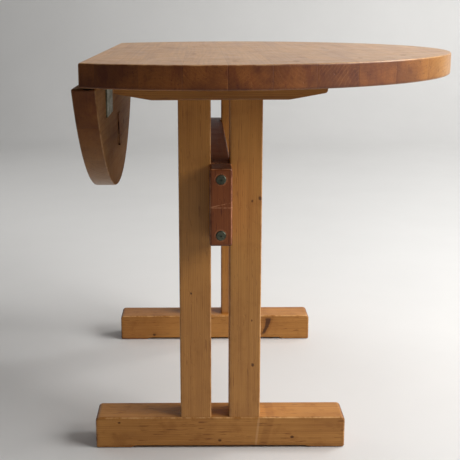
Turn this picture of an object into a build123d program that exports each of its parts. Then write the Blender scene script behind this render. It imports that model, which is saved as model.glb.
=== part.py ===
from build123d import *
import os

# Drop leaf table: a thick round pine top with one hinged leaf, on two trestles that a bolted
# stretcher joins. The leaf is modelled hanging, and the support bar pushed in.
#
# Working frame, millimetres: +Z up, X = 0 on the centre line of the trestles, which is also the
# centre of the round top; Y = 0 halfway between the trestles; the leaf is on the -X side.
# export_part() moves every piece along X, so that the stored origin is the middle of the whole
# table's base.

# ---------------------------------------------------------------- driving dimensions

HEIGHT = 720                # floor to table top
TOP_RADIUS = 460
TOP_THICKNESS = 40
TOP_ARRIS = 3               # rounding along every edge of the top and the leaf
JOINT_X = -TOP_RADIUS / 2   # straight edge where the leaf meets the top
JOINT_GAP = 1.5             # between the top and the raised leaf, and over the hanging leaf

FOOT_OUTER_Y = 305.5        # outer face of each foot
FOOT_LENGTH = 464
FOOT_WIDTH = 65
FOOT_HEIGHT = 61
FOOT_PAD = 62               # length of the flat pad at each end
FOOT_RELIEF = 5             # height of the shallow arch between the pads
FOOT_RELIEF_RUN = 12        # length of the slope from pad to arch
FOOT_END_ROUND = 8          # at the upper ends
FOOT_TOE_ROUND = 4          # at the lower ends
FOOT_ARRIS = 3.5

UPRIGHT_OUTER_Y = 303.4     # outer face of the uprights
UPRIGHT_WIDTH = 57
UPRIGHT_DEPTH = 48
UPRIGHT_GAP = 33            # slot between the two uprights of a trestle
UPRIGHT_ARRIS = 2.5
TENON_WIDTH = 37
TENON_DEPTH = 24
FOOT_TENON = 35             # how far a tenon enters the foot
BEARER_TENON = 20           # how far a tenon enters the bearer

BEARER_LENGTH = 368
BEARER_HEIGHT = 30
BEARER_WIDTH = 54
BEARER_FLAT = 234           # length of the level part of the lower edge
BEARER_TIP = 18             # height left at the tapered ends
BEARER_TIP_ROUND = 6
BEARER_ARRIS = 3

STRETCHER_BOTTOM = 402
STRETCHER_HEIGHT = 138
STRETCHER_THICKNESS = 38
STRETCHER_END_INSET = 3     # stretcher's end behind the uprights' outer face
STRETCHER_ARRIS = 4
TONGUE_ARRIS = 3
TONGUE_CLEARANCE = 0.2      # each side of the stretcher's tongue in the slot

CLAMP_WIDTH = 39
CLAMP_DEPTH = 48
CLAMP_HEIGHT = 136
CLAMP_ARRIS = 4

BOLT_SPACING = 98
BOLT_LENGTH = 90
BOLT_RADIUS = 3
BOLT_HOLE_RADIUS = 3.5
BOLT_HEAD_RADIUS = 8.5
BOLT_HEAD_HEIGHT = 2.4
BOLT_HEAD_CHAMFER = 0.8
BOLT_HEAD_SUNK = 1.2        # depth of the head's seat in the clamp block
BOLT_SEAT_CLEARANCE = 0.3   # round the head in its seat
BOLT_SOCKET = 5             # across the flats of the hexagon socket
BOLT_SOCKET_FLOOR = 0.4     # thickness left under the socket
NUT_RADIUS = 5
NUT_LENGTH = 28
NUT_INSET = 34              # nut's axis behind the stretcher's end
BOLT_HOLE_PAST_NUT = 11     # end of the bolt's hole past the nut's axis

PIVOT_RISE = 13.4           # hinge axis above the top's underside, and behind the leaf's inner face
HINGE_CENTRE_Y = 195
HINGE_LENGTH = 100
PLATE = 2.5                 # thickness of the hinge's sheet steel
KNUCKLE_RADIUS = 5
KNUCKLES = 5
KNUCKLE_GAP = 0.3
PIN_RADIUS = 2.5
PIN_CLEARANCE = 0.05
LEAF_PLATE_REACH = 80       # hinge axis to the far edge of the leaf's plate
TOP_PLATE_START = 18        # hinge axis to the near and far edges of the top's plate
TOP_PLATE_REACH = 75
PLATE_SCREW_Y = 35
TOP_PLATE_SCREWS = (35, 60)     # hinge axis to each row of screws
LEAF_PLATE_SCREWS = (35, 65)
MORTISE_CLEARANCE = 1       # round the knuckles, at the ends of the mortise and over them
MORTISE_WALL = 7            # hinge axis to the mortise's wall on the leaf's side
MORTISE_REACH = 17          # hinge axis to the mortise's other wall
TAB_RELIEF = 0.5            # shallow relief under the top for the leaf plate's tabs
COVE_RADIUS = 18.2          # hollow in the leaf's hinge edge, about the hinge axis
HINGE_COVE_RADIUS = 21.5    # the same, deeper over each hinge

LOPER_LENGTH = 450
LOPER_WIDTH = 36
LOPER_HEIGHT = 20
LOPER_TIP_X = -100          # tip of the support bar when it is pushed in
LOPER_BELOW_TOP = 1
LOPER_CLEARANCE = 0.4
LOPER_ARRIS = 2
GUIDE_LENGTH = 30
GUIDE_WIDTH = 76
GUIDE_HEIGHT = 32
GUIDE_ROUND = 6
GUIDE_X = (-70, 70)         # centres of the outer and the inner guide
PULL_RADIUS = 7
PULL_DROP = 17
PULL_ROUND = 3
SPIGOT = 12                 # length of the pull and the stop inside the bar
STOP_RADIUS = 5
STOP_DROP = 11
STOP_FROM_END = 12

WEDGE_NEAR = 85             # joint edge of the leaf to the wedge's thin end
WEDGE_LENGTH = 65
WEDGE_WIDTH = 40
WEDGE_THIN = 1.5
WEDGE_THICK = 4
WEDGE_SCREW_FROM_END = 20
WEDGE_SCREW_HEIGHT = 2.8    # screw head's face over the leaf

FIT = 0.05                  # clearance round screws, nuts and pegs in their holes

# (head radius, shank radius, length) of each size of countersunk screw
BEARER_SCREW = (4.5, 2.25, 52)
GUIDE_SCREW = (4.5, 2.25, 45)
PLATE_SCREW = (4.0, 2.0, 20)
WEDGE_SCREW = (3.0, 1.5, 16)
SCREW_POINT = 3             # length of a screw's point, in shank radii
RECESS = (1.1, 0.25, 0.6)   # length, width and depth of a cross recess's arms, in head radii
RECESS_TURN = 35
SCREW_HOLE_MOUTH = 4        # how far a screw's hole stays open below its head

OVERCUT = 10                # how far a cutting shape runs past what it cuts

# ---------------------------------------------------------------- derived positions

UNDERSIDE = HEIGHT - TOP_THICKNESS
PIVOT_X = JOINT_X + PIVOT_RISE
PIVOT_Z = UNDERSIDE + PIVOT_RISE
LEAF_OUTER_X = PIVOT_X - (HEIGHT - PIVOT_Z)
LEAF_INNER_X = PIVOT_X + PIVOT_RISE
LEAF_TOP_Z = PIVOT_Z - PIVOT_RISE - JOINT_GAP
PLATE_BACK = PIVOT_RISE + PLATE
UPRIGHT_Y = UPRIGHT_OUTER_Y - UPRIGHT_DEPTH / 2
UPRIGHT_INNER_Y = UPRIGHT_OUTER_Y - UPRIGHT_DEPTH
UPRIGHT_X = (UPRIGHT_GAP + UPRIGHT_WIDTH) / 2
BEARER_Z = UNDERSIDE - BEARER_HEIGHT
STRETCHER_END_Y = UPRIGHT_OUTER_Y - STRETCHER_END_INSET
STRETCHER_MID_Z = STRETCHER_BOTTOM + STRETCHER_HEIGHT / 2
CLAMP_OUTER_Y = UPRIGHT_OUTER_Y + CLAMP_DEPTH
CLAMP_BOTTOM = STRETCHER_MID_Z - CLAMP_HEIGHT / 2
BOLT_Z = (STRETCHER_MID_Z - BOLT_SPACING / 2, STRETCHER_MID_Z + BOLT_SPACING / 2)
NUT_Y = STRETCHER_END_Y - NUT_INSET
LOPER_TOP_Z = UNDERSIDE - LOPER_BELOW_TOP
LOPER_Z = LOPER_TOP_Z - LOPER_HEIGHT
LOPER_END_X = LOPER_TIP_X + LOPER_LENGTH
GUIDE_Z = UNDERSIDE - GUIDE_HEIGHT
PULL_X = GUIDE_X[0] - GUIDE_LENGTH / 2 - LOPER_CLEARANCE - PULL_RADIUS
STOP_X = LOPER_END_X - STOP_FROM_END
WEDGE_TOP_Z = LEAF_TOP_Z - WEDGE_NEAR
WEDGE_SCREW_Z = WEDGE_TOP_Z - WEDGE_LENGTH + WEDGE_SCREW_FROM_END

BEARER_SCREW_X = (-100, 0, 100)
GUIDE_SCREW_Y = (-28, 28)
WEDGE_SCREW_Y = (-11, 11)
SIDES = {"front": -1, "rear": 1}    # sign of Y at each trestle and each hinge

# Middle of the whole table along X, where the stored origin lies.
ORIGIN_X = (LEAF_OUTER_X + TOP_RADIUS) / 2


# ---------------------------------------------------------------- helpers

def export_part(name, shape):
    """Write one piece, moved so that the origin is the middle of the table's base."""
    moved = Pos(-ORIGIN_X, 0, 0) * shape
    moved.label = name
    export_step(moved, f"parts/{name}.step")


def block(x, y, z):
    """A box between the given pairs of coordinates, each pair in either order."""
    spans = [sorted(pair) for pair in (x, y, z)]
    middle = [(low + high) / 2 for low, high in spans]
    size = [high - low for low, high in spans]
    return Pos(*middle) * Box(*size)


def rod(radius, length, centre, axis):
    """A cylinder along X, Y or Z about the given centre."""
    turn = {"X": Rot(0, 90, 0), "Y": Rot(90, 0, 0), "Z": Rot(0, 0, 0)}[axis]
    return Pos(*centre) * turn * Cylinder(radius, length)


def prism(outline, y_low, y_high):
    """An outline of (x, z) points with lengths along Y."""
    face = Plane.XZ * make_face(Polyline(*outline, close=True))
    return Pos(0, y_high, 0) * extrude(face, y_high - y_low)


def across(side, near, far):
    """A pair of Y coordinates on the front (-1) or rear (+1) side."""
    return (side * near, side * far)


def joined(pieces):
    """Separate solids of one node, such as a set of screws."""
    return Compound(list(pieces))


def screw(size, place, turn=Rot(0, 0, 0)):
    """A countersunk wood screw with a cross recess; its head is at the place and it points up."""
    head, shank, length = size
    point = length - SCREW_POINT * shank
    outline = [(0, 0), (head, 0), (shank, head - shank), (shank, point), (0, length)]
    body = revolve(Plane.XZ * make_face(Polyline(*outline, close=True)), Axis.Z)
    slot = Box(*(share * head for share in RECESS))
    return Pos(*place) * turn * Rot(0, 0, RECESS_TURN) * (body - slot - Rot(0, 0, 90) * slot)


def screw_hole(size, place, turn=Rot(0, 0, 0)):
    """The hole for a screw, with an open mouth below its head."""
    head, shank, length = size
    wide, narrow = head + FIT, shank + FIT
    outline = [(0, -SCREW_HOLE_MOUTH), (wide, -SCREW_HOLE_MOUTH), (wide, 0), (narrow, head - shank),
               (narrow, length), (0, length + FIT)]
    return Pos(*place) * turn * revolve(Plane.XZ * make_face(Polyline(*outline, close=True)), Axis.Z)


# ---------------------------------------------------------------- where the screws go

INTO_LEAF = Rot(0, -90, 0)      # turns a screw that points up so that it points to -X


def bearer_screw_places(side):
    return [(x, side * UPRIGHT_Y, BEARER_Z) for x in BEARER_SCREW_X]


def guide_screw_places():
    return [(x, y, GUIDE_Z) for x in GUIDE_X for y in GUIDE_SCREW_Y]


def top_plate_screw_places(side):
    y_middle = side * HINGE_CENTRE_Y
    return [(PIVOT_X + reach, y_middle + y, UNDERSIDE - PLATE)
            for reach in TOP_PLATE_SCREWS for y in (-PLATE_SCREW_Y, PLATE_SCREW_Y)]


def leaf_plate_screw_places(side):
    y_middle = side * HINGE_CENTRE_Y
    return [(LEAF_INNER_X + PLATE, y_middle + y, PIVOT_Z - reach)
            for reach in LEAF_PLATE_SCREWS for y in (-PLATE_SCREW_Y, PLATE_SCREW_Y)]


def wedge_screw_places():
    return [(LEAF_INNER_X + WEDGE_SCREW_HEIGHT, y, WEDGE_SCREW_Z) for y in WEDGE_SCREW_Y]


# ---------------------------------------------------------------- top and leaf

def round_panel(x_low, x_high):
    """The part of the round top between two X positions, with its edges rounded."""
    disc = Pos(0, 0, UNDERSIDE + TOP_THICKNESS / 2) * Cylinder(TOP_RADIUS, TOP_THICKNESS)
    reach = TOP_RADIUS + OVERCUT
    panel = disc & block((x_low, x_high), (-reach, reach), (UNDERSIDE - OVERCUT, HEIGHT + OVERCUT))
    return fillet(panel.edges(), TOP_ARRIS)


def main_top():
    """The fixed part of the top, with a mortise for each hinge's knuckles and all its screw holes."""
    panel = round_panel(JOINT_X, TOP_RADIUS + OVERCUT)
    wall = PIVOT_X - MORTISE_WALL
    below = UNDERSIDE - OVERCUT
    ceiling = PIVOT_Z + KNUCKLE_RADIUS + MORTISE_CLEARANCE
    half = HINGE_LENGTH / 2 + MORTISE_CLEARANCE
    for side in SIDES.values():
        middle = side * HINGE_CENTRE_Y
        y_span = (middle - half, middle + half)
        panel -= block((wall, PIVOT_X + MORTISE_REACH), y_span, (below, ceiling))
        panel -= block((JOINT_X - OVERCUT, wall), y_span, (below, UNDERSIDE + TAB_RELIEF))
        for place in top_plate_screw_places(side):
            panel -= screw_hole(PLATE_SCREW, place)
        for place in bearer_screw_places(side):
            panel -= screw_hole(BEARER_SCREW, place)
    for place in guide_screw_places():
        panel -= screw_hole(GUIDE_SCREW, place)
    return panel


def drop_leaf():
    """The hinged part of the top, hanging, with a cove along its hinge edge."""
    raised = round_panel(-TOP_RADIUS - OVERCUT, JOINT_X - JOINT_GAP)
    at_pivot = Pos(PIVOT_X, 0, PIVOT_Z)
    hanging = at_pivot * Rot(0, -90, 0) * Pos(-PIVOT_X, 0, -PIVOT_Z) * raised
    hanging -= rod(COVE_RADIUS, 2 * TOP_RADIUS, (PIVOT_X, 0, PIVOT_Z), "Y")
    for side in SIDES.values():
        middle = (PIVOT_X, side * HINGE_CENTRE_Y, PIVOT_Z)
        hanging -= rod(HINGE_COVE_RADIUS, HINGE_LENGTH + 2 * MORTISE_CLEARANCE, middle, "Y")
        for place in leaf_plate_screw_places(side):
            hanging -= screw_hole(PLATE_SCREW, place, INTO_LEAF)
    for place in wedge_screw_places():
        hanging -= screw_hole(WEDGE_SCREW, place, INTO_LEAF)
    return hanging


def lift_wedge():
    """Thin ramp on the leaf's inner face, which the support bar's tip slides under."""
    low_z = WEDGE_TOP_Z - WEDGE_LENGTH
    outline = [(LEAF_INNER_X, WEDGE_TOP_Z), (LEAF_INNER_X + WEDGE_THIN, WEDGE_TOP_Z),
               (LEAF_INNER_X + WEDGE_THICK, low_z), (LEAF_INNER_X, low_z)]
    wedge = prism(outline, -WEDGE_WIDTH / 2, WEDGE_WIDTH / 2)
    for place in wedge_screw_places():
        wedge -= screw_hole(WEDGE_SCREW, place, INTO_LEAF)
    return wedge


# ---------------------------------------------------------------- hinges, about their own axis

def knuckle_spans():
    """The (low, high) Y span of each knuckle, from one end of the hinge to the other."""
    length = (HINGE_LENGTH - (KNUCKLES - 1) * KNUCKLE_GAP) / KNUCKLES
    starts = [-HINGE_LENGTH / 2 + i * (length + KNUCKLE_GAP) for i in range(KNUCKLES)]
    return [(start, start + length) for start in starts]


def knuckle(span):
    return rod(KNUCKLE_RADIUS, span[1] - span[0], (0, sum(span) / 2, 0), "Y")


def pin_bore():
    return rod(PIN_RADIUS + PIN_CLEARANCE, HINGE_LENGTH + OVERCUT, (0, 0, 0), "Y")


def hinge_top_plate():
    """Plate under the top, with tongues that turn up to the outer knuckles and the middle one."""
    half = HINGE_LENGTH / 2
    plate = block((TOP_PLATE_START, TOP_PLATE_REACH), (-half, half), (-PLATE_BACK, -PIVOT_RISE))
    inner = KNUCKLE_RADIUS - PLATE
    for span in knuckle_spans()[0::2]:
        plate += block((inner, TOP_PLATE_START), span, (-PLATE_BACK, -PIVOT_RISE))
        plate += block((inner, KNUCKLE_RADIUS), span, (-PLATE_BACK, 0))
        plate += knuckle(span)
    return plate - pin_bore()


def hinge_leaf_plate():
    """Plate on the leaf's inner face, with tabs that turn in to the other two knuckles."""
    half = HINGE_LENGTH / 2
    tab_foot = -PLATE_BACK - KNUCKLE_GAP
    plate = block((PIVOT_RISE, PLATE_BACK), (-half, half), (-LEAF_PLATE_REACH, tab_foot))
    inner = PLATE - KNUCKLE_RADIUS
    for span in knuckle_spans()[1::2]:
        plate += block((PIVOT_RISE, PLATE_BACK), span, (tab_foot, inner))
        plate += block((0, PLATE_BACK), span, (-KNUCKLE_RADIUS, inner))
        plate += knuckle(span)
    return plate - pin_bore()


def hinge_pieces(side):
    """The pieces of one hinge, at its place, by name."""
    place = Pos(PIVOT_X, side * HINGE_CENTRE_Y, PIVOT_Z)
    top_plate = place * hinge_top_plate()
    leaf_plate = place * hinge_leaf_plate()
    for screw_place in top_plate_screw_places(side):
        top_plate -= screw_hole(PLATE_SCREW, screw_place)
    for screw_place in leaf_plate_screw_places(side):
        leaf_plate -= screw_hole(PLATE_SCREW, screw_place, INTO_LEAF)
    return {
        "top_plate": top_plate,
        "leaf_plate": leaf_plate,
        "pin": place * rod(PIN_RADIUS, HINGE_LENGTH, (0, 0, 0), "Y"),
        "top_screws": joined(screw(PLATE_SCREW, p) for p in top_plate_screw_places(side)),
        "leaf_screws": joined(screw(PLATE_SCREW, p, INTO_LEAF) for p in leaf_plate_screw_places(side)),
    }


# ---------------------------------------------------------------- trestles

def tenon(x, side, z_low, z_high):
    half = TENON_WIDTH / 2
    y = side * UPRIGHT_Y
    return block((x - half, x + half), (y - TENON_DEPTH / 2, y + TENON_DEPTH / 2), (z_low, z_high))


def upright(x, side):
    """A post between foot and bearer, with a tenon at each end."""
    half = UPRIGHT_WIDTH / 2
    post = block((x - half, x + half), across(side, UPRIGHT_INNER_Y, UPRIGHT_OUTER_Y),
                 (FOOT_HEIGHT, BEARER_Z))
    post = fillet(post.edges().filter_by(Axis.Z), UPRIGHT_ARRIS)
    post += tenon(x, side, FOOT_HEIGHT - FOOT_TENON, FOOT_HEIGHT)
    return post + tenon(x, side, BEARER_Z, BEARER_Z + BEARER_TENON)


def end_edges(body):
    """The edges across the two ends of a beam along X, in pairs from the lowest up."""
    edges = body.edges().filter_by(Axis.Y)
    return (edges.group_by(Axis.X)[0] + edges.group_by(Axis.X)[-1]).group_by(Axis.Z)


def foot(side):
    """A foot that stands on a pad at each end, with rounded ends and upper arrises."""
    end = FOOT_LENGTH / 2
    pad_edge = end - FOOT_PAD
    arch_edge = pad_edge - FOOT_RELIEF_RUN
    outline = [(-end, 0), (-pad_edge, 0), (-arch_edge, FOOT_RELIEF), (arch_edge, FOOT_RELIEF),
               (pad_edge, 0), (end, 0), (end, FOOT_HEIGHT), (-end, FOOT_HEIGHT)]
    y_low, y_high = sorted(across(side, FOOT_OUTER_Y - FOOT_WIDTH, FOOT_OUTER_Y))
    body = prism(outline, y_low, y_high)
    body = fillet(end_edges(body)[0], FOOT_TOE_ROUND)
    body = fillet(end_edges(body)[-1], FOOT_END_ROUND)
    body = fillet(body.faces().sort_by(Axis.Z)[-1].edges().filter_by(Axis.X), FOOT_ARRIS)
    for x in (-UPRIGHT_X, UPRIGHT_X):
        body -= tenon(x, side, FOOT_HEIGHT - FOOT_TENON, FOOT_HEIGHT)
    return body


def bearer(side):
    """The batten under the top, with its lower edge tapered towards both tips."""
    end = BEARER_LENGTH / 2
    flat = BEARER_FLAT / 2
    tip_z = UNDERSIDE - BEARER_TIP
    outline = [(-end, UNDERSIDE), (-end, tip_z), (-flat, BEARER_Z), (flat, BEARER_Z),
               (end, tip_z), (end, UNDERSIDE)]
    y = side * UPRIGHT_Y
    body = prism(outline, y - BEARER_WIDTH / 2, y + BEARER_WIDTH / 2)
    tips = body.edges().filter_by(Axis.Y).group_by(Axis.Z)[1]
    body = fillet(tips, BEARER_TIP_ROUND)
    body = fillet(body.faces().sort_by(Axis.Z)[0].edges().filter_by(Axis.X), BEARER_ARRIS)
    for x in (-UPRIGHT_X, UPRIGHT_X):
        body -= tenon(x, side, BEARER_Z, BEARER_Z + BEARER_TENON)
    for place in bearer_screw_places(side):
        body -= screw_hole(BEARER_SCREW, place)
    return body


# ---------------------------------------------------------------- stretcher and its clamps

def nut_hole(side, z):
    """The cross hole that a barrel nut drops into, drilled from the +X face."""
    low = -NUT_LENGTH / 2
    high = UPRIGHT_GAP / 2
    return rod(NUT_RADIUS + FIT, high - low, ((low + high) / 2, side * NUT_Y, z), "X")


def stretcher():
    """The board between the trestles: shoulders inside, tongues through the slots, nut holes."""
    half = STRETCHER_THICKNESS / 2
    tongue = UPRIGHT_GAP / 2 - TONGUE_CLEARANCE
    top = STRETCHER_BOTTOM + STRETCHER_HEIGHT
    hole_depth = NUT_INSET + BOLT_HOLE_PAST_NUT
    hole_y = STRETCHER_END_Y - hole_depth / 2
    body = block((-half, half), (-UPRIGHT_INNER_Y, UPRIGHT_INNER_Y), (STRETCHER_BOTTOM, top))
    body = fillet(body.edges().filter_by(Axis.Y), STRETCHER_ARRIS)
    for side in SIDES.values():
        end = block((-tongue, tongue), across(side, UPRIGHT_INNER_Y, STRETCHER_END_Y),
                    (STRETCHER_BOTTOM, top))
        body += fillet(end.edges().filter_by(Axis.Y), TONGUE_ARRIS)
        for z in BOLT_Z:
            body -= rod(BOLT_HOLE_RADIUS, hole_depth, (0, side * hole_y, z), "Y")
            body -= nut_hole(side, z)
    return body


def barrel_nut(side, z):
    """A steel cylinder across the stretcher's end, with the bolt's bore through it."""
    centre = (0, side * NUT_Y, z)
    bore = rod(BOLT_RADIUS + FIT, 2 * NUT_RADIUS + OVERCUT, centre, "Y")
    return rod(NUT_RADIUS, NUT_LENGTH, centre, "X") - bore


def clamp_block(side):
    """The short block that closes the slot from outside, with seats for the bolt heads."""
    half = CLAMP_WIDTH / 2
    body = block((-half, half), across(side, UPRIGHT_OUTER_Y, CLAMP_OUTER_Y),
                 (CLAMP_BOTTOM, CLAMP_BOTTOM + CLAMP_HEIGHT))
    outer = body.faces().filter_by(Axis.Y).sort_by(Axis.Y)[0 if side < 0 else -1]
    body = fillet(outer.edges() + body.edges().filter_by(Axis.Y), CLAMP_ARRIS)
    seat_y = CLAMP_OUTER_Y - BOLT_HEAD_SUNK / 2
    for z in BOLT_Z:
        body -= rod(BOLT_HOLE_RADIUS, 2 * CLAMP_DEPTH + OVERCUT, (0, side * CLAMP_OUTER_Y, z), "Y")
        body -= rod(BOLT_HEAD_RADIUS + BOLT_SEAT_CLEARANCE, BOLT_HEAD_SUNK, (0, side * seat_y, z), "Y")
    return body


def clamp_bolt(side, z):
    """A connector bolt: a flat round head with a hexagon socket, and its shank."""
    head_base = CLAMP_OUTER_Y - BOLT_HEAD_SUNK
    head = Cylinder(BOLT_HEAD_RADIUS, BOLT_HEAD_HEIGHT, align=(Align.CENTER, Align.CENTER, Align.MIN))
    head = chamfer(head.edges().group_by(Axis.Z)[-1], BOLT_HEAD_CHAMFER)
    socket = extrude(RegularPolygon(BOLT_SOCKET / 2, 6, major_radius=False), BOLT_HEAD_HEIGHT)
    head -= Pos(0, 0, BOLT_SOCKET_FLOOR) * socket
    head += Cylinder(BOLT_RADIUS, BOLT_LENGTH, align=(Align.CENTER, Align.CENTER, Align.MAX))
    return Pos(0, side * head_base, z) * Rot(-90 * side, 0, 0) * head


# ---------------------------------------------------------------- leaf support

def loper():
    """The bar that slides out under the raised leaf."""
    half = LOPER_WIDTH / 2
    bar = block((LOPER_TIP_X, LOPER_END_X), (-half, half), (LOPER_Z, LOPER_TOP_Z))
    bar = fillet(bar.edges(), LOPER_ARRIS)
    bar -= rod(PULL_RADIUS / 2 + FIT, 2 * SPIGOT, (PULL_X, 0, LOPER_Z), "Z")
    return bar - rod(STOP_RADIUS + FIT, 2 * SPIGOT, (STOP_X, 0, LOPER_Z), "Z")


def loper_pull():
    """The turned knob under the bar's tip, with its spigot in the bar."""
    knob = rod(PULL_RADIUS, PULL_DROP, (PULL_X, 0, LOPER_Z - PULL_DROP / 2), "Z")
    knob = fillet(knob.edges().group_by(Axis.Z)[0], PULL_ROUND)
    return knob + rod(PULL_RADIUS / 2, SPIGOT, (PULL_X, 0, LOPER_Z + SPIGOT / 2), "Z")


def loper_stop():
    """The peg that stops the bar against the inner guide when it is pulled right out."""
    return rod(STOP_RADIUS, STOP_DROP + SPIGOT, (STOP_X, 0, LOPER_Z + (SPIGOT - STOP_DROP) / 2), "Z")


def loper_guide(x):
    """A block under the top with a channel for the bar."""
    half = GUIDE_LENGTH / 2
    channel = LOPER_WIDTH / 2 + LOPER_CLEARANCE
    body = block((x - half, x + half), (-GUIDE_WIDTH / 2, GUIDE_WIDTH / 2), (GUIDE_Z, UNDERSIDE))
    body = fillet(body.edges().filter_by(Axis.X).group_by(Axis.Z)[0], GUIDE_ROUND)
    body -= block((x - half, x + half), (-channel, channel), (LOPER_Z - LOPER_CLEARANCE, UNDERSIDE))
    for place in guide_screw_places():
        body -= screw_hole(GUIDE_SCREW, place)
    return body


# ---------------------------------------------------------------- all the pieces

os.makedirs("parts", exist_ok=True)

export_part("main_top", main_top())
export_part("drop_leaf", drop_leaf())
export_part("lift_wedge", lift_wedge())
export_part("wedge_screws", joined(screw(WEDGE_SCREW, p, INTO_LEAF) for p in wedge_screw_places()))
export_part("stretcher", stretcher())

for side_name, side_sign in SIDES.items():
    export_part(f"foot_{side_name}", foot(side_sign))
    export_part(f"bearer_{side_name}", bearer(side_sign))
    export_part(f"upright_{side_name}_left", upright(-UPRIGHT_X, side_sign))
    export_part(f"upright_{side_name}_right", upright(UPRIGHT_X, side_sign))
    export_part(f"clamp_block_{side_name}", clamp_block(side_sign))
    export_part(f"clamp_bolts_{side_name}", joined(clamp_bolt(side_sign, z) for z in BOLT_Z))
    export_part(f"barrel_nuts_{side_name}", joined(barrel_nut(side_sign, z) for z in BOLT_Z))
    export_part(f"bearer_screws_{side_name}",
                joined(screw(BEARER_SCREW, p) for p in bearer_screw_places(side_sign)))
    for piece_name, piece in hinge_pieces(side_sign).items():
        export_part(f"hinge_{side_name}_{piece_name}", piece)

export_part("loper", loper())
export_part("loper_pull", loper_pull())
export_part("loper_stop", loper_stop())
export_part("loper_guide_outer", loper_guide(GUIDE_X[0]))
export_part("loper_guide_inner", loper_guide(GUIDE_X[1]))
export_part("guide_screws", joined(screw(GUIDE_SCREW, p) for p in guide_screw_places()))
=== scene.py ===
"""Looks of the drop leaf table: pine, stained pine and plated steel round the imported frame."""

import math

import bpy
from mathutils import Matrix, Vector


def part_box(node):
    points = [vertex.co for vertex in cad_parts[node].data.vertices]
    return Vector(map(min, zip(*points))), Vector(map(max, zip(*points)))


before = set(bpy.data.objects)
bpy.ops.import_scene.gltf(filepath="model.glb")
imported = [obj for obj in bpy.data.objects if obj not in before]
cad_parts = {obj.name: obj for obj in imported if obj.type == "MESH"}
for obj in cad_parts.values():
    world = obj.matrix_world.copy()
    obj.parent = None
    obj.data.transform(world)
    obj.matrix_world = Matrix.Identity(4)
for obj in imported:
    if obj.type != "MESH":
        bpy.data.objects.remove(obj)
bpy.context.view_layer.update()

# ---------------------------------------------------------------- places, from the frame

TOP_LOW, TOP_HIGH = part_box("main_top")
LEAF_LOW, LEAF_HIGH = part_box("drop_leaf")
ROUND_RADIUS = (TOP_HIGH.y - TOP_LOW.y) / 2
ROUND_X = TOP_HIGH.x - ROUND_RADIUS         # centre of the round top
LEAF_ROUND_Z = LEAF_LOW.z + ROUND_RADIUS    # centre of the leaf's arc while it hangs
CLAMP_LOW, CLAMP_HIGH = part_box("clamp_block_front")
CLAMP_MIDDLE = (CLAMP_LOW + CLAMP_HIGH) / 2
BOLT_LOW, BOLT_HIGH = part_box("clamp_bolts_front")
BOLT_HEAD_RADIUS = (BOLT_HIGH.x - BOLT_LOW.x) / 2
BOLT_SEAT_RADIUS = BOLT_HEAD_RADIUS + 0.0016
BOLT_ZS = (BOLT_LOW.z + BOLT_HEAD_RADIUS, BOLT_HIGH.z - BOLT_HEAD_RADIUS)
UPRIGHT_MIDDLES = {hand: sum(corner.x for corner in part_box(f"upright_front_{hand}")) / 2
                   for hand in ("left", "right")}


# ---------------------------------------------------------------- node graphs

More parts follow.
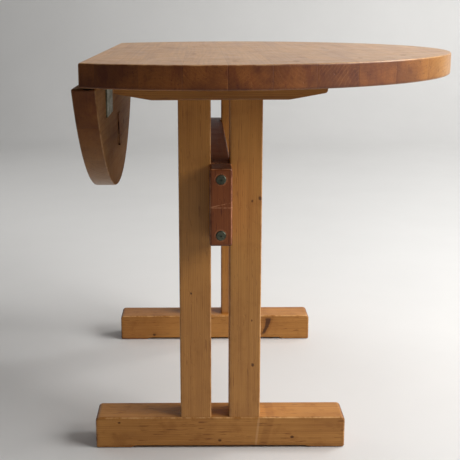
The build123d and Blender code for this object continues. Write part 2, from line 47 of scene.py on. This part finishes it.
class Graph:
    """One material's node tree. The methods add nodes and give back their output sockets."""

    def __init__(self, name):
        self.material = bpy.data.materials.new(name)
        self.material.use_nodes = True
        self.tree = self.material.node_tree
        self.tree.nodes.clear()
        self.shader = self.add("ShaderNodeBsdfPrincipled")
        output = self.add("ShaderNodeOutputMaterial")
        self.tree.links.new(self.shader.outputs[0], output.inputs["Surface"])

    def add(self, kind, **settings):
        node = self.tree.nodes.new(kind)
        for key, value in settings.items():
            setattr(node, key, value)
        return node

    def put(self, socket, value):
        """Links a socket into an input, or sets the input to a plain value."""
        if isinstance(value, bpy.types.NodeSocket):
            self.tree.links.new(value, socket)
        else:
            socket.default_value = value

    def math(self, operation, *values):
        node = self.add("ShaderNodeMath", operation=operation)
        for socket, value in zip(node.inputs, values):
            self.put(socket, value)
        return node.outputs[0]

    def plus(self, a, b):
        return self.math("ADD", a, b)

    def minus(self, a, b):
        return self.math("SUBTRACT", a, b)

    def times(self, a, b):
        return self.math("MULTIPLY", a, b)

    def length(self, a, b):
        """The length of a vector with the parts a and b."""
        return self.math("SQRT", self.plus(self.math("POWER", a, 2.0), self.math("POWER", b, 2.0)))

    def vector(self, x, y, z):
        node = self.add("ShaderNodeCombineXYZ")
        for socket, value in zip(node.inputs, (x, y, z)):
            self.put(socket, value)
        return node.outputs[0]

    def split(self, vector):
        node = self.add("ShaderNodeSeparateXYZ")
        self.put(node.inputs[0], vector)
        return node.outputs[:3]

    def step(self, value, low, high, to_low=0.0, to_high=1.0):
        """A smooth step from to_low to to_high while the value goes from low to high."""
        node = self.add("ShaderNodeMapRange", interpolation_type="SMOOTHSTEP")
        for socket, number in zip(node.inputs, (value, low, high, to_low, to_high)):
            self.put(socket, number)
        return node.outputs[0]

    def noise(self, place, scale, detail=2.0, roughness=0.5):
        """A noise value, 0 to 1 and about 0.5 on average."""
        node = self.add("ShaderNodeTexNoise")
        self.put(node.inputs["Vector"], place)
        self.put(node.inputs["Scale"], scale)
        self.put(node.inputs["Detail"], detail)
        self.put(node.inputs["Roughness"], roughness)
        return node.outputs["Fac"]

    def chance(self, number):
        """Three random values, 0 to 1, that belong to a whole number."""
        node = self.add("ShaderNodeTexWhiteNoise", noise_dimensions="1D")
        self.put(node.inputs["W"], number)
        colour = self.add("ShaderNodeSeparateColor")
        self.tree.links.new(node.outputs["Color"], colour.inputs[0])
        return colour.outputs[:3]

    def mix(self, share, a, b, blend="MIX"):
        node = self.add("ShaderNodeMix", data_type="RGBA", blend_type=blend)
        self.put(node.inputs["Factor"], share)
        for name, value in (("A", a), ("B", b)):
            socket = next(s for s in node.inputs if s.name == name and s.type == "RGBA")
            self.put(socket, value if isinstance(value, bpy.types.NodeSocket) else (*value, 1.0))
        return next(s for s in node.outputs if s.type == "RGBA")

    def darken(self, colour, share, tint):
        """The colour, multiplied by a tint as far as the share says."""
        return self.mix(share, colour, tint, blend="MULTIPLY")

    def bump(self, height, distance):
        """Roughens the shader's normal; distance is the depth in metres that a height of 1 stands for."""
        node = self.add("ShaderNodeBump")
        self.put(node.inputs["Distance"], distance)
        self.put(node.inputs["Height"], height)
        self.tree.links.new(node.outputs[0], self.shader.inputs["Normal"])

    def finish(self, colour, roughness, **sockets):
        """Sets the shader: colour and roughness may be linked, the named sockets are plain numbers."""
        self.put(self.shader.inputs["Base Color"], colour)
        self.put(self.shader.inputs["Roughness"], roughness)
        for name, value in sockets.items():
            self.shader.inputs[name.replace("_", " ")].default_value = value
        return self.material


# ---------------------------------------------------------------- distance to the nearest edge

def second_smallest(g, a, b, c):
    """Near an edge of a solid, two of its three distances to faces are small."""
    low, high = g.math("MINIMUM", a, b), g.math("MAXIMUM", a, b)
    return g.math("MAXIMUM", low, g.math("MINIMUM", high, c))


def inside(g, value, low, high):
    """Distance from a coordinate to the nearer of two limits."""
    return g.math("MINIMUM", g.minus(value, low), g.minus(high, value))


def box_edge(low, high):
    """A function that adds the distance to the nearest edge of a box."""
    def distance(g, x, y, z):
        return second_smallest(g, *(inside(g, c, a, b) for c, a, b in zip((x, y, z), low, high)))
    return distance


def rim_edge(g, a, b, a_centre, straight, through):
    """The same for a round panel: a rim about (a_centre, 0), a straight edge and two faces."""
    radius = g.length(g.minus(a, a_centre), b)
    return second_smallest(g, g.minus(ROUND_RADIUS, radius), straight, through)


def top_edge(g, x, y, z):
    return rim_edge(g, x, y, ROUND_X, g.minus(x, TOP_LOW.x), inside(g, z, TOP_LOW.z, TOP_HIGH.z))


def leaf_edge(g, x, y, z):
    return rim_edge(g, z, y, LEAF_ROUND_Z, g.minus(LEAF_HIGH.z, z), inside(g, x, LEAF_LOW.x, LEAF_HIGH.x))


# ---------------------------------------------------------------- wood

# For each grain direction, the object's axes across the face, through the thickness and along the
# fibres, by their places in X, Y, Z.
GRAIN_AXES = {"X": (1, 2, 0), "Y": (0, 2, 1), "Z": (0, 1, 2), "Y_on_edge": (2, 0, 1)}

# Linear colours: early and late wood on side grain, ground and ring lines on end grain, knots, and
# wood whose lacquer is rubbed off, which the pale arrises also use as a painted highlight.
PINE = {
    "early": (0.520, 0.236, 0.054),
    "late": (0.310, 0.114, 0.022),
    "end": (0.215, 0.066, 0.014),
    "end_line": (0.400, 0.170, 0.056),
    "knot": (0.040, 0.010, 0.003),
    "worn_and_highlight": (0.720, 0.440, 0.210),
}
TOP_PINE = {
    **PINE,
    "early": (0.500, 0.250, 0.074),
    "late": (0.300, 0.122, 0.030),
    "end": (0.280, 0.087, 0.012),
    "end_line": (0.430, 0.180, 0.054),
}
RED_PINE = {
    "early": (0.255, 0.072, 0.017),
    "late": (0.150, 0.038, 0.009),
    "end": (0.110, 0.036, 0.014),
    "end_line": (0.200, 0.076, 0.032),
    "knot": (0.050, 0.016, 0.007),
    "worn_and_highlight": (0.520, 0.230, 0.110),
}
BARE_PINE = {
    "early": (0.560, 0.350, 0.165),
    "late": (0.400, 0.205, 0.080),
    "end": (0.340, 0.190, 0.085),
    "end_line": (0.480, 0.300, 0.150),
    "knot": (0.140, 0.060, 0.025),
    "worn_and_highlight": (0.640, 0.450, 0.250),
}


def knot_fields(g, knots, u, v, w, wobble):
    """For all knots: how dark the wood is, how far the rings bend, and the rings inside the knots."""
    dark, bend, rings = 0.0, 0.0, 0.0
    for knot_side, knot_w, radius, face in knots:
        side = u if face == "through" else v
        across = g.plus(g.minus(side, knot_side), wobble)
        along = g.times(g.minus(w, knot_w), 0.75)
        far = g.math("DIVIDE", g.length(across, along), radius)
        halo = g.math("EXPONENT", g.times(g.math("POWER", g.times(far, 0.40), 2.0), -1.0))
        bend = g.plus(bend, g.times(halo, radius * 1.6))
        dark = g.math("MAXIMUM", dark, g.step(far, 0.55, 1.25, 1.0, 0.0))
        rings = g.math("MAXIMUM", rings, g.times(g.math("PINGPONG", far, 0.16), 2.0))
    return dark, bend, rings


def glued_boards(g, boards, seed, u):
    """For the board at u: random values, the place across it, its pith, how plain its rings are.

    The last value is 1 in the seams between boards.
    """
    start, width, shown, shown_pith = boards
    cell = g.math("FLOOR", g.math("DIVIDE", g.minus(u, start), width))
    lots = g.chance(g.plus(cell, seed + 0.37))
    local = g.minus(g.minus(u, start), g.times(g.plus(cell, 0.5), width))
    pith_u = g.times(g.minus(lots[0], 0.5), width * 1.6)
    pith_v = g.times(g.minus(lots[1], 0.5), 0.12)
    pith_v = g.plus(pith_v, g.times(g.math("SIGN", pith_v), 0.036))
    is_shown = g.math("COMPARE", cell, shown, 0.5)
    pith = [g.plus(random, g.times(g.minus(fixed, random), is_shown))
            for random, fixed in zip((pith_u, pith_v), shown_pith)]
    clear = g.plus(0.20, g.times(is_shown, 0.65))
    seam = g.step(g.minus(width / 2, g.math("ABSOLUTE", local)), 0.0001, 0.0009, 1.0, 0.0)
    return lots, local, pith, clear, seam


def growth_rings(g, reach, ring, ripple, seed):
    """The place within a ring, 0 to 1, and how dark the late wood is there."""
    count = g.plus(g.math("DIVIDE", reach, ring), g.times(ripple, 0.5))
    ring_lot = g.chance(g.plus(g.math("FLOOR", count), seed * 13.0))[0]
    phase = g.math("FRACT", count)
    late = g.times(g.step(phase, 0.20, 0.88), g.step(phase, 0.88, 1.0, 1.0, 0.0))
    return phase, g.times(late, g.plus(g.times(ring_lot, 0.7), 0.3))


def arris_wear_highlight_and_shade(g, spot, edge_far, rise):
    """Masks of the wood near the edges: pale in patches where the lacquer is scuffed and where a
    highlight is painted, grimy beside, and a painted shadow along the bottom.
    """
    scuff = g.noise(spot, 38.0, 5.0, 0.70)
    # pale arrises in patches, partly worn lacquer and partly a painted highlight along the edges
    rubbed_and_highlight = g.times(g.step(edge_far, 0.0004, 0.0028, 1.0, 0.0), g.step(scuff, 0.36, 0.62))
    # painted shade: the lowest few millimetres of each piece are darkened, for the contact shadow at its
    # bottom
    painted_base_shade = g.step(rise, 0.0015, 0.006, 1.0, 0.0)
    rubbed_and_highlight = g.times(rubbed_and_highlight, g.minus(1.0, painted_base_shade))
    grime = g.times(g.step(edge_far, 0.001, 0.009, 1.0, 0.0), g.step(scuff, 0.32, 0.66, 1.0, 0.0))
    return rubbed_and_highlight, grime, painted_base_shade


def wood(name, low, high, grain, palette, seed, heart=(0.06, -0.02), ring=0.0032, contrast=0.40,
         wander=0.018, boards=None, edge=None, knots=(), marks=None, dull=(), shade=1.0,
         roughness=0.36, gloss=0.38, coat=0.10, mottle=1.0, wear=1.0):
    """Solid wood in the box low to high. Its rings are one field in space, so all its faces agree.

    heart is the pith's place beside the box's middle, across and through; boards is the start and
    width of glued-up boards, and the number and pith of the one with the plainest rings; edge gives
    the distance to the nearest edge where the piece isn't a box; a knot is (side, along, radius,
    face), where face is "through" on the broad faces and "side" on the others; marks adds what only
    this piece shows; dull lists the directions that unpolished faces look in. A darkening factor
    below 1 darkens the whole piece as a painted shadow, for the shadow it stands in under the top.
    """
    g = Graph(name)
    place = g.add("ShaderNodeTexCoord")
    spot = place.outputs["Object"]
    x, y, z = g.split(spot)
    axes = GRAIN_AXES[grain]
    u, v, w = ((x, y, z)[i] for i in axes)
    u_middle, v_middle = ((low[i] + high[i]) / 2 for i in axes[:2])
    normal = g.split(place.outputs["Normal"])
    facing = g.math("ABSOLUTE", normal[axes[2]])
    depth = g.minus(v, v_middle)

    if boards:
        lots, local, pith, clear, seam = glued_boards(g, boards, seed, u)
    else:
        lots = [(seed * k) % 1.0 for k in (0.377, 0.619, 0.831)]
        local = g.minus(u, u_middle)
        pith, clear, seam = heart, 0.6, 0.0
    own_u = g.plus(local, g.times(lots[0], 3.0))
    own_w = g.plus(w, g.times(lots[2], 7.0))

    def fibre_noise(stretch, scale, detail=2.0, roughness=0.5):
        """Noise that is drawn out along the fibres; a small stretch makes long streaks."""
        return g.noise(g.vector(own_u, depth, g.times(own_w, stretch)), scale, detail, roughness)

    # slow wander of the fibres, and knots that push the rings aside
    drift = g.minus(fibre_noise(0.16, 7.0), 0.5)
    ripple = g.minus(fibre_noise(0.10, 46.0), 0.5)
    wobble = g.times(g.minus(g.noise(spot, 160.0, 3.0, 0.6), 0.5), 0.004)
    knot_dark, knot_bend, knot_rings = knot_fields(g, knots, u, v, w, wobble)
    du = g.plus(g.minus(local, pith[0]), g.times(drift, wander * 2))
    dv = g.plus(g.minus(depth, pith[1]), g.times(ripple, wander / 4))
    reach = g.plus(g.plus(g.length(du, dv), g.times(w, 0.006)), knot_bend)

    phase, late = growth_rings(g, reach, ring, ripple, seed)
    end = g.step(facing, 0.40, 0.85)

    # fine texture, from long streaks to pores
    streak = fibre_noise(0.020, 120.0, 3.0, 0.6)
    fibre = fibre_noise(0.022, 820.0, 2.0, 0.6)
    dash = g.step(fibre_noise(0.085, 400.0, 1.0), 0.70 - 0.03 * mottle, 0.77 - 0.03 * mottle)
    cloud = fibre_noise(0.40, 11.0, 3.0, 0.55)
    blotch = g.noise(spot, 34.0, 3.0, 0.6)
    pore = g.noise(spot, 900.0, 2.0, 0.6)

    # side grain has rings that darken to a sharp edge; end grain has pale lines and dark upright stains
    colour = g.mix(g.times(late, contrast), palette["early"], palette["late"])
    line = g.times(g.step(phase, 0.62, 0.84), g.step(phase, 0.90, 1.0, 1.0, 0.0))
    line = g.times(line, g.times(clear, g.step(blotch, 0.35, 0.60, 0.35, 1.0)))
    end_colour = g.mix(g.times(line, 0.75), palette["end"], palette["end_line"])
    stain = g.noise(g.vector(x, y, g.times(z, 0.35)), 62.0, 4.0, 0.65)
    end_colour = g.darken(end_colour, g.step(cloud, 0.40, 0.62, 0.0, 0.50 * mottle), (0.58, 0.46, 0.36))
    end_colour = g.darken(end_colour, g.step(pore, 0.50, 0.72, 0.0, 0.45), (0.50, 0.42, 0.36))
    end_colour = g.darken(end_colour, g.step(stain, 0.48, 0.66, 0.0, 0.40 * mottle), (0.62, 0.40, 0.32))
    colour = g.mix(end, colour, end_colour)
    colour = g.darken(colour, g.step(streak, 0.42, 0.75, 0.0, 0.40), (0.66, 0.55, 0.45))
    colour = g.darken(colour, g.step(fibre, 0.40, 0.80, 0.0, 0.34), (0.62, 0.52, 0.44))
    colour = g.darken(colour, g.times(dash, 0.42 * mottle), (0.38, 0.23, 0.14))
    colour = g.darken(colour, g.step(cloud, 0.38, 0.72, 0.0, 0.42 * mottle), (0.66, 0.56, 0.46))
    colour = g.darken(colour, g.step(blotch, 0.50, 0.78, 0.0, 0.34 * mottle), (0.70, 0.60, 0.52))
    if boards:
        colour = g.darken(colour, g.times(lots[2], 0.26), (0.70, 0.62, 0.52))
    knot_colour = g.mix(knot_rings, palette["knot"], palette["late"])
    colour = g.mix(g.times(knot_dark, 0.94), colour, knot_colour)
    colour = g.darken(colour, g.times(seam, 0.28), (0.38, 0.28, 0.20))
    if marks:
        colour = marks(g, colour, palette, x, y, z)

    edge_far = (edge or box_edge(low, high))(g, x, y, z)
    rubbed_and_highlight, grime, painted_base_shade = arris_wear_highlight_and_shade(g, spot, edge_far, g.minus(z, low[2]))
    colour = g.darken(colour, g.times(grime, 0.26 * wear), (0.50, 0.38, 0.29))
    # painted shade along the bottom of the piece, for its contact shadow
    colour = g.darken(colour, g.times(painted_base_shade, 0.38), (0.45, 0.34, 0.26))
    # pale arrises: partly worn lacquer, partly a painted highlight on the edges
    colour = g.mix(g.times(rubbed_and_highlight, 0.50 * wear), colour, palette["worn_and_highlight"])
    # painted shade: the whole piece is darkened for the shade it stands in under the top or the leaf
    if shade != 1.0:
        colour = g.darken(colour, 1.0, (shade, shade, shade))

    # the lacquer follows the grain a little, and has small dents
    dent = g.step(g.noise(spot, 130.0, 1.0, 0.4), 0.70, 0.80)
    height = g.plus(g.times(late, -0.20), g.times(fibre, -0.25))
    height = g.minus(height, g.times(g.plus(dash, knot_dark), 0.25))
    height = g.minus(height, g.plus(g.times(dent, 0.9), g.times(seam, 0.8)))
    height = g.plus(height, g.times(end, g.times(pore, 0.5)))
    g.bump(height, 0.00030)
    rough = g.plus(g.times(g.minus(blotch, 0.5), 0.22), roughness)
    rough = g.plus(rough, g.plus(g.times(rubbed_and_highlight, -0.08), g.times(end, 0.24)))
    rough = g.plus(rough, g.times(knot_dark, 0.20))
    for axis, sign in dull:
        rough = g.plus(rough, g.times(g.step(g.times(normal["XYZ".index(axis)], sign), 0.5, 0.9), 0.45))
    return g.finish(colour, g.math("MAXIMUM", rough, 0.18), Specular_IOR_Level=gloss,
                    Coat_Weight=coat, Coat_Roughness=0.20)


# ---------------------------------------------------------------- marks of single pieces

def thin_line(g, distance, width):
    """1 on a line, 0 away from it; the distance may have either sign."""
    return g.step(g.math("ABSOLUTE", distance), width * 0.5, width, 1.0, 0.0)


def top_crack(g, colour, palette, x, y, z):
    """A short open seam beside the middle of the round part."""
    line = thin_line(g, g.minus(x, ROUND_X + 0.226), 0.0010)
    span = g.step(g.math("ABSOLUTE", g.minus(y, 0.045)), 0.050, 0.075, 1.0, 0.0)
    return g.mix(g.times(g.times(line, span), 0.75), colour, palette["knot"])


def foot_band(g, colour, palette, x, y, z):
    """A pale scrape across the foot's face and a darker band beside it."""
    along = g.minus(g.minus(x, ROUND_X + 0.066), g.times(z, 0.10))
    scrape = g.times(thin_line(g, along, 0.0026), 0.30)
    beside = g.minus(g.minus(along, 0.012), g.times(z, 0.15))
    band = g.step(g.math("ABSOLUTE", beside), 0.005, 0.010, 1.0, 0.0)
    colour = g.darken(colour, g.times(band, 0.35), (0.62, 0.52, 0.44))
    return g.mix(scrape, colour, palette["worn_and_highlight"])


def spike_knot(g, colour, palette, x, y, z):
    """A knot that was sawn lengthwise: a tall dark streak that leans across the foot."""
    up = g.minus(z, 0.034)
    lean = g.plus(g.times(up, 0.30), g.times(g.math("POWER", up, 2.0), -9.0))
    off = g.math("ABSOLUTE", g.minus(g.minus(x, ROUND_X + 0.129), lean))
    off = g.plus(off, g.times(g.minus(g.noise(g.vector(x, y, z), 120.0, 3.0, 0.6), 0.5), 0.006))
    half = g.plus(0.0045, g.times(g.math("MAXIMUM", up, 0.0), 0.12))
    span = g.step(g.math("ABSOLUTE", up), 0.016, 0.025, 1.0, 0.0)
    core = g.times(g.step(g.minus(off, half), -0.0020, 0.0015, 1.0, 0.0), span)
    halo = g.times(g.step(g.minus(off, half), 0.0, 0.009, 1.0, 0.0), span)
    colour = g.darken(colour, g.times(halo, 0.45), (0.62, 0.46, 0.34))
    return g.mix(g.times(core, 0.80), colour, palette["knot"])


def rubbed_through(g, x, y, z):
    """1 where the lacquer is rubbed through, in patches."""
    return g.step(g.noise(g.vector(x, y, z), 140.0, 3.0, 0.6), 0.34, 0.58)


def seat_wear(g, colour, palette, x, y, z):
    """Lacquer rubbed off round the bolts' seats."""
    scuffs = 0.0
    for bolt_z in BOLT_ZS:
        radius = g.length(g.minus(x, CLAMP_MIDDLE.x), g.minus(z, bolt_z))
        seat = thin_line(g, g.minus(radius, BOLT_SEAT_RADIUS), 0.0014)
        scuffs = g.math("MAXIMUM", scuffs, g.times(seat, 0.32))
    return g.mix(g.times(scuffs, rubbed_through(g, x, y, z)), colour, palette["worn_and_highlight"])


def seat_wear_and_scratches(g, colour, palette, x, y, z):
    """The same, with two pale scratches across the middle of the block."""
    flat = thin_line(g, g.minus(z, CLAMP_MIDDLE.z), 0.0009)
    rise = g.times(g.minus(x, CLAMP_MIDDLE.x), 0.22)
    slant = thin_line(g, g.minus(g.minus(z, CLAMP_MIDDLE.z + 0.0050), rise), 0.0009)
    scratches = g.times(g.math("MAXIMUM", flat, slant), 0.75)
    scratches = g.times(scratches, rubbed_through(g, x, y, z))
    colour = seat_wear(g, colour, palette, x, y, z)
    return g.mix(scratches, colour, palette["worn_and_highlight"])


# ---------------------------------------------------------------- metal

def metal(name, colour, dull, roughness, brush="Y", dirt=0.5):
    """Plated steel: fine rolling lines, dull patches, and specks of dirt."""
    g = Graph(name)
    place = g.add("ShaderNodeTexCoord").outputs["Object"]
    x, y, z = g.split(place)
    stretch = {"X": (0.03, 1.0, 1.0), "Y": (1.0, 0.03, 1.0), "Z": (1.0, 1.0, 0.03)}[brush]
    lines = g.noise(g.vector(*(g.times(c, s) for c, s in zip((x, y, z), stretch))), 1600.0, 2.0, 0.6)
    patch = g.noise(place, 95.0, 4.0, 0.62)
    speck = g.step(g.noise(place, 700.0, 2.0, 0.5), 0.60, 0.72)
    tone = g.mix(g.step(patch, 0.38, 0.66), colour, dull)
    tone = g.darken(tone, g.step(lines, 0.35, 0.75, 0.0, 0.30), (0.60, 0.60, 0.58))
    tone = g.darken(tone, g.times(speck, dirt), (0.35, 0.30, 0.22))
    rough = g.plus(g.times(g.step(patch, 0.35, 0.70), 0.22), roughness)
    g.bump(g.plus(g.times(lines, 0.5), g.times(speck, -0.4)), 0.00008)
    return g.finish(tone, rough, Metallic=1.0)


# ---------------------------------------------------------------- materials on the CAD nodes

def dress(node, material):
    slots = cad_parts[node].data.materials
    slots.clear()
    slots.append(material)


def dress_in_wood(node, grain, palette, seed, **looks):
    low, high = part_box(node)
    dress(node, wood(f"wood_{node}", low, high, grain, palette, seed, **looks))


BOARD_WIDTH = 0.070
SEAM_X = ROUND_X + 0.008    # one of the seams between the boards of the top
SMALL_KNOTS = [(-0.046, -0.144, 0.0055), (0.022, -0.366, 0.0050), (0.121, -0.374, 0.0060),
               (0.226, 0.069, 0.0045), (0.238, -0.300, 0.0045), (0.330, -0.215, 0.0065)]
dress_in_wood("main_top", "Y", TOP_PINE, 3, ring=0.0058, contrast=0.45, wander=0.026, edge=top_edge,
              boards=(SEAM_X, BOARD_WIDTH, 2, (0.050, -0.034)), marks=top_crack, dull=[("Z", -1)],
              knots=[(ROUND_X + x, y, r, "through") for x, y, r in SMALL_KNOTS],
              roughness=0.34, coat=0.18, mottle=1.5)
# the hanging leaf is darkened with painted shade, for the shade under the top
dress_in_wood("drop_leaf", "Y_on_edge", TOP_PINE, 8, ring=0.0052, contrast=0.45, wander=0.026,
              edge=leaf_edge, boards=(LEAF_HIGH.z, BOARD_WIDTH, -3, (0.060, 0.030)),
              knots=[(0.56, 0.12, 0.006, "through"), (0.615, -0.262, 0.003, "through")],
              dull=[("X", 1), ("Z", 1)], shade=0.63, gloss=0.20, coat=0.0)

# knots of the uprights: beside the middle, height and radius
UPRIGHT_KNOTS = {
    ("front", "left"): [(-0.008, 0.302, 0.0018)],
    ("front", "right"): [(0.012, 0.250, 0.0016), (0.014, 0.164, 0.0028), (0.011, 0.472, 0.0020),
                         (0.025, 0.477, 0.0030)],
    ("rear", "left"): [(-0.012, 0.410, 0.0022), (0.006, 0.130, 0.0018)],
    ("rear", "right"): [(0.010, 0.186, 0.0018), (-0.013, 0.366, 0.0026)],
}
# knots of the feet: height, beside the middle and radius
FOOT_KNOTS = {
    "front": [(0.051, -0.188, 0.0022), (0.015, -0.001, 0.0026), (0.021, 0.134, 0.0028)],
    "rear": [(0.012, -0.150, 0.0030)],
}
for index, side in enumerate(("front", "rear")):
    for count, hand in enumerate(("left", "right")):
        middle = UPRIGHT_MIDDLES[hand]
        dress_in_wood(f"upright_{side}_{hand}", "Z", PINE, 11 + 2 * index + count, contrast=0.32,
                      heart=(0.075 - 0.150 * count, 0.012),
                      knots=[(middle + x, z, r, "through") for x, z, r in UPRIGHT_KNOTS[side, hand]],
                      dull=[("X", 1 if hand == "left" else -1)])
    dress_in_wood(f"foot_{side}", "X", PINE, 24 + index, heart=(0.030, 0.090), wander=0.030,
                  marks=foot_band if side == "front" else spike_knot,
                  knots=[(z, ROUND_X + x, r, "side") for z, x, r in FOOT_KNOTS[side]],
                  roughness=0.42, gloss=0.30, coat=0.04, mottle=1.7, wear=2.2)
    # the bearers are darkened with painted shade, for the shade under the top
    dress_in_wood(f"bearer_{side}", "X", PINE, 28 + index, heart=(0.030, -0.080), shade=0.80)
    # the clamp blocks' strong pale arrises are partly a painted highlight along their edges
    dress_in_wood(f"clamp_block_{side}", "Z", RED_PINE, 31 + index, heart=(0.060, -0.020),
                  marks=seat_wear_and_scratches if side == "front" else seat_wear,
                  roughness=0.38, gloss=0.30, mottle=1.5, wear=2.4)
    dress(f"clamp_bolts_{side}", metal(f"bolt_steel_{side}", (0.145, 0.152, 0.112),
                                       (0.065, 0.070, 0.050), 0.36, brush="X", dirt=0.6))

# the stretcher is darkened with painted shade, for the shade under the top
dress_in_wood("stretcher", "Y_on_edge", RED_PINE, 41, heart=(0.030, -0.060), ring=0.0040, shade=0.76,
              coat=0.0, roughness=0.56, gloss=0.25, mottle=1.4, wear=1.8)
# the wedge is darkened with painted shade, for the shade under the leaf
dress_in_wood("lift_wedge", "Y_on_edge", PINE, 47, dull=[("X", 1), ("Z", 1)], shade=0.64, coat=0.0,
              wear=2.0)

HINGE_STEEL = metal("hinge_steel", (0.26, 0.27, 0.190), (0.14, 0.145, 0.100), 0.42, brush="Z")
SCREW_STEEL = metal("screw_steel", (0.48, 0.46, 0.39), (0.30, 0.28, 0.23), 0.30, brush="X")
for side in ("front", "rear"):
    for piece in ("top_plate", "leaf_plate", "pin"):
        dress(f"hinge_{side}_{piece}", HINGE_STEEL)
    for node in (f"hinge_{side}_top_screws", f"hinge_{side}_leaf_screws", f"bearer_screws_{side}",
                 f"barrel_nuts_{side}"):
        dress(node, SCREW_STEEL)
for node in ("guide_screws", "wedge_screws"):
    dress(node, SCREW_STEEL)

for index, node in enumerate(("loper", "loper_pull", "loper_stop")):
    dress_in_wood(node, "X" if node == "loper" else "Z", BARE_PINE, 51 + index, ring=0.0030,
                  roughness=0.50, coat=0.02)
for index, node in enumerate(("loper_guide_outer", "loper_guide_inner")):
    dress_in_wood(node, "Y", PINE, 61 + index, heart=(0.020, -0.060), shade=0.85)


# ---------------------------------------------------------------- stage, light and camera

WARM_WHITE = (1.0, 0.985, 0.965)


def plain_floor():
    """A pale floor that curves up into a backdrop well behind the table."""
    half, front, bend_y, bend_radius, height = 6.0, -5.0, 3.3, 1.0, 3.4
    profile = [(front, 0.0), (bend_y, 0.0)]
    for i in range(1, 13):
        angle = math.radians(90 * i / 12)
        profile.append((bend_y + bend_radius * math.sin(angle), bend_radius * (1 - math.cos(angle))))
    profile.append((bend_y + bend_radius, height))
    vertices = [(x, y, z) for y, z in profile for x in (-half, half)]
    faces = [(2 * i, 2 * i + 1, 2 * i + 3, 2 * i + 2) for i in range(len(profile) - 1)]
    mesh = bpy.data.meshes.new("floor")
    mesh.from_pydata(vertices, [], faces)
    for polygon in mesh.polygons:
        polygon.use_smooth = True
    floor = bpy.data.objects.new("floor", mesh)
    bpy.context.scene.collection.objects.link(floor)
    g = Graph("pale_floor")
    place = g.add("ShaderNodeTexCoord").outputs["Object"]
    tone = g.mix(g.noise(place, 2.4, 4.0, 0.6), (0.66, 0.66, 0.655), (0.72, 0.72, 0.715))
    mesh.materials.append(g.finish(tone, 0.60))


def softbox(name, place, target, width, height, power):
    """A warm white area light at place that faces target; sizes in metres, power in watts."""
    light = bpy.data.lights.new(name, "AREA")
    light.shape = "RECTANGLE"
    light.size, light.size_y = width, height
    light.energy = power
    light.color = WARM_WHITE
    lamp = bpy.data.objects.new(name, light)
    lamp.location = place
    lamp.rotation_mode = "QUATERNION"
    lamp.rotation_quaternion = (Vector(target) - Vector(place)).to_track_quat("-Z", "Y")
    lamp.visible_camera = False
    bpy.context.scene.collection.objects.link(lamp)


def soft_world(colour, strength):
    world = bpy.data.worlds.new("studio")
    world.use_nodes = True
    background = world.node_tree.nodes["Background"]
    background.inputs["Color"].default_value = (*colour, 1.0)
    background.inputs["Strength"].default_value = strength
    bpy.context.scene.world = world


def photo_camera():
    """The photo's view: from the front, in line with the slot between the uprights."""
    camera = bpy.data.cameras.new("camera")
    camera.sensor_width = 36.0
    camera.lens = 68.29
    camera.shift_x = 0.0723
    camera.shift_y = -0.0722
    holder = bpy.data.objects.new("camera", camera)
    eye = Vector((ROUND_X - 0.03736, -1.8022, 0.80665))
    yaw, pitch, roll = 0.0028, 0.2144, -0.0053      # radians
    turn = (Matrix.Rotation(yaw, 4, "Z") @ Matrix.Rotation(math.pi / 2 - pitch, 4, "X")
            @ Matrix.Rotation(roll, 4, "Z"))
    holder.matrix_world = Matrix.Translation(eye) @ turn
    bpy.context.scene.collection.objects.link(holder)
    bpy.context.scene.camera = holder


plain_floor()
softbox("key", (2.43, -0.86, 1.9), (0.0, -0.05, 0.45), 2.2, 1.5, 110.0)
softbox("above", (0.2, 0.4, 3.0), (0.0, 0.0, 0.7), 2.0, 2.0, 11.0)
softbox("edge", (1.5, 0.4, 2.2), (0.1, -0.1, 0.7), 0.6, 0.6, 22.0)
softbox("backdrop", (2.6, 1.8, 2.9), (1.8, 4.3, 0.7), 1.6, 0.8, 85.0)
softbox("fill", (-2.4, 1.6, 1.7), (0.0, 0.0, 0.5), 1.8, 1.8, 13.0)
soft_world((0.90, 0.90, 0.90), 0.06)
photo_camera()
bpy.context.scene.view_settings.view_transform = "Standard"
